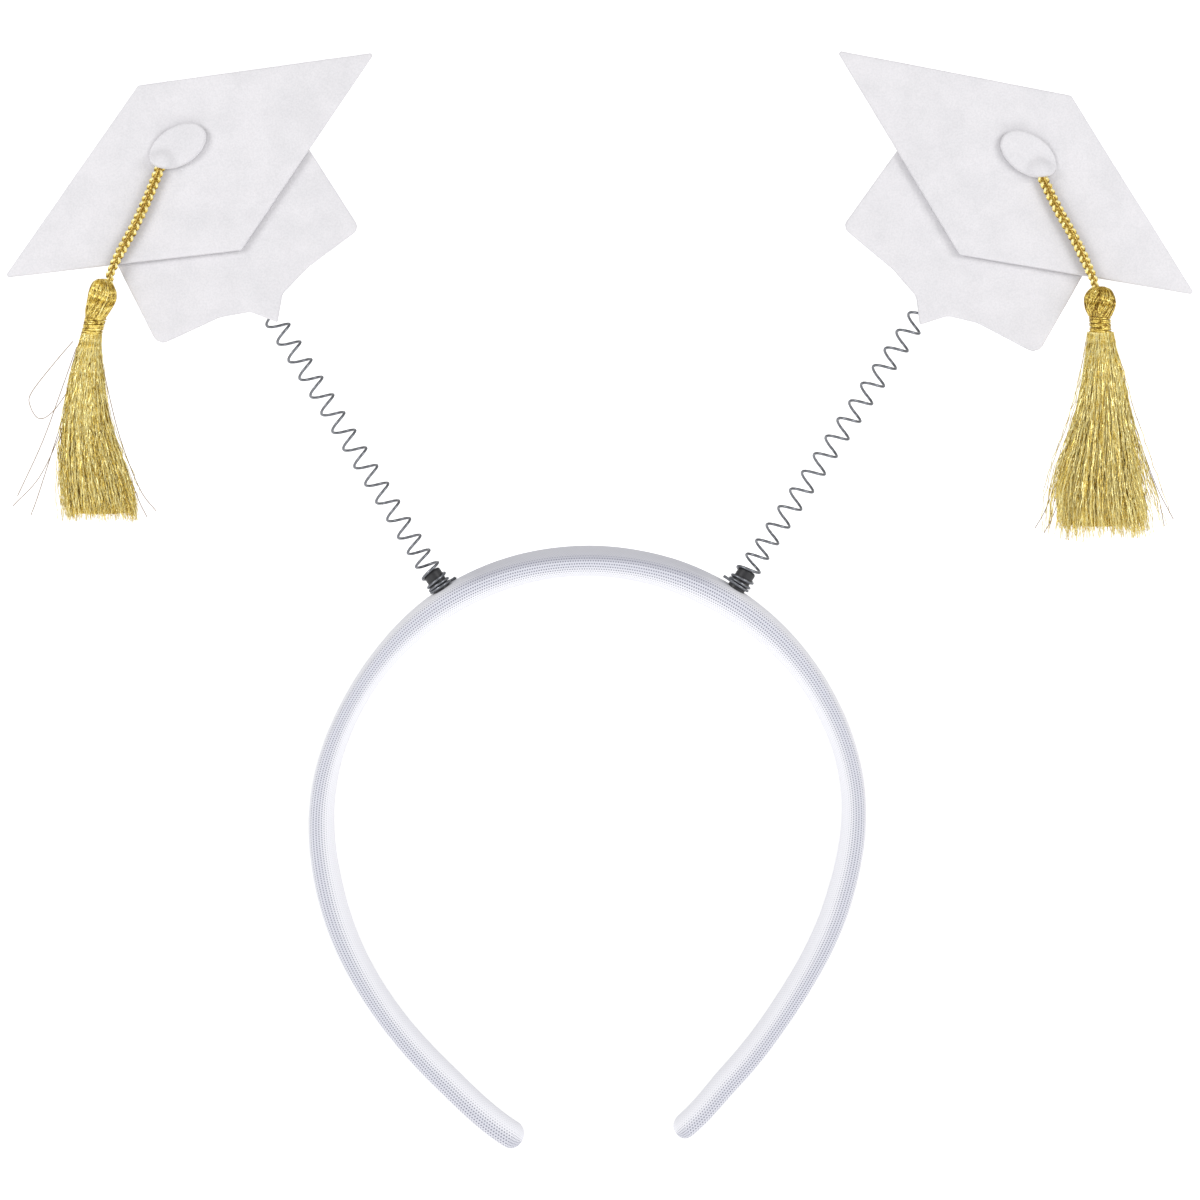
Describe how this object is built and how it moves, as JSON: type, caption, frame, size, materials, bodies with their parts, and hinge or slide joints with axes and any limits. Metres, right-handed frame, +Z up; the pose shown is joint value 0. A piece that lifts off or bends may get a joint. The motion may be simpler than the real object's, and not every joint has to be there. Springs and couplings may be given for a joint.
{
  "type": "graduation cap head bopper",
  "caption": "Arched padded headband with springy wire antennae that carry flat white graduation-cap cut-outs, each with a button, a braided cord and a gold tassel.",
  "frame": {"origin": "middle of the headband's inner face at the top of its arch, where it sits on the head", "axes": "+X to the right as seen from the front, +Y away from the viewer, +Z up the arch"},
  "size_m": [0.2946, 0.0215, 0.2768],
  "materials": {
    "knit": "white stretch knit sleeve",
    "felt": "white felt",
    "post_plastic": "black moulded",
    "spring_wire": "drawn spring wire",
    "gold_thread": "gold metallic thread"
  },
  "bodies": {
    "root": {"headband": "knit", "spring_post_left": "post_plastic", "spring_post_right": "post_plastic", "spring_left": "spring_wire", "spring_right": "spring_wire", "spring_strip_left": "felt", "spring_strip_right": "felt", "crown_left": "felt", "crown_right": "felt", "board_left": "felt", "board_right": "felt", "button_left": "felt", "button_right": "felt", "cord_left": "gold_thread", "cord_right": "gold_thread", "tassel_left": "gold_thread", "tassel_right": "gold_thread", "tassel_wrap_left": "gold_thread", "tassel_wrap_right": "gold_thread"}
  },
  "joints": []
}
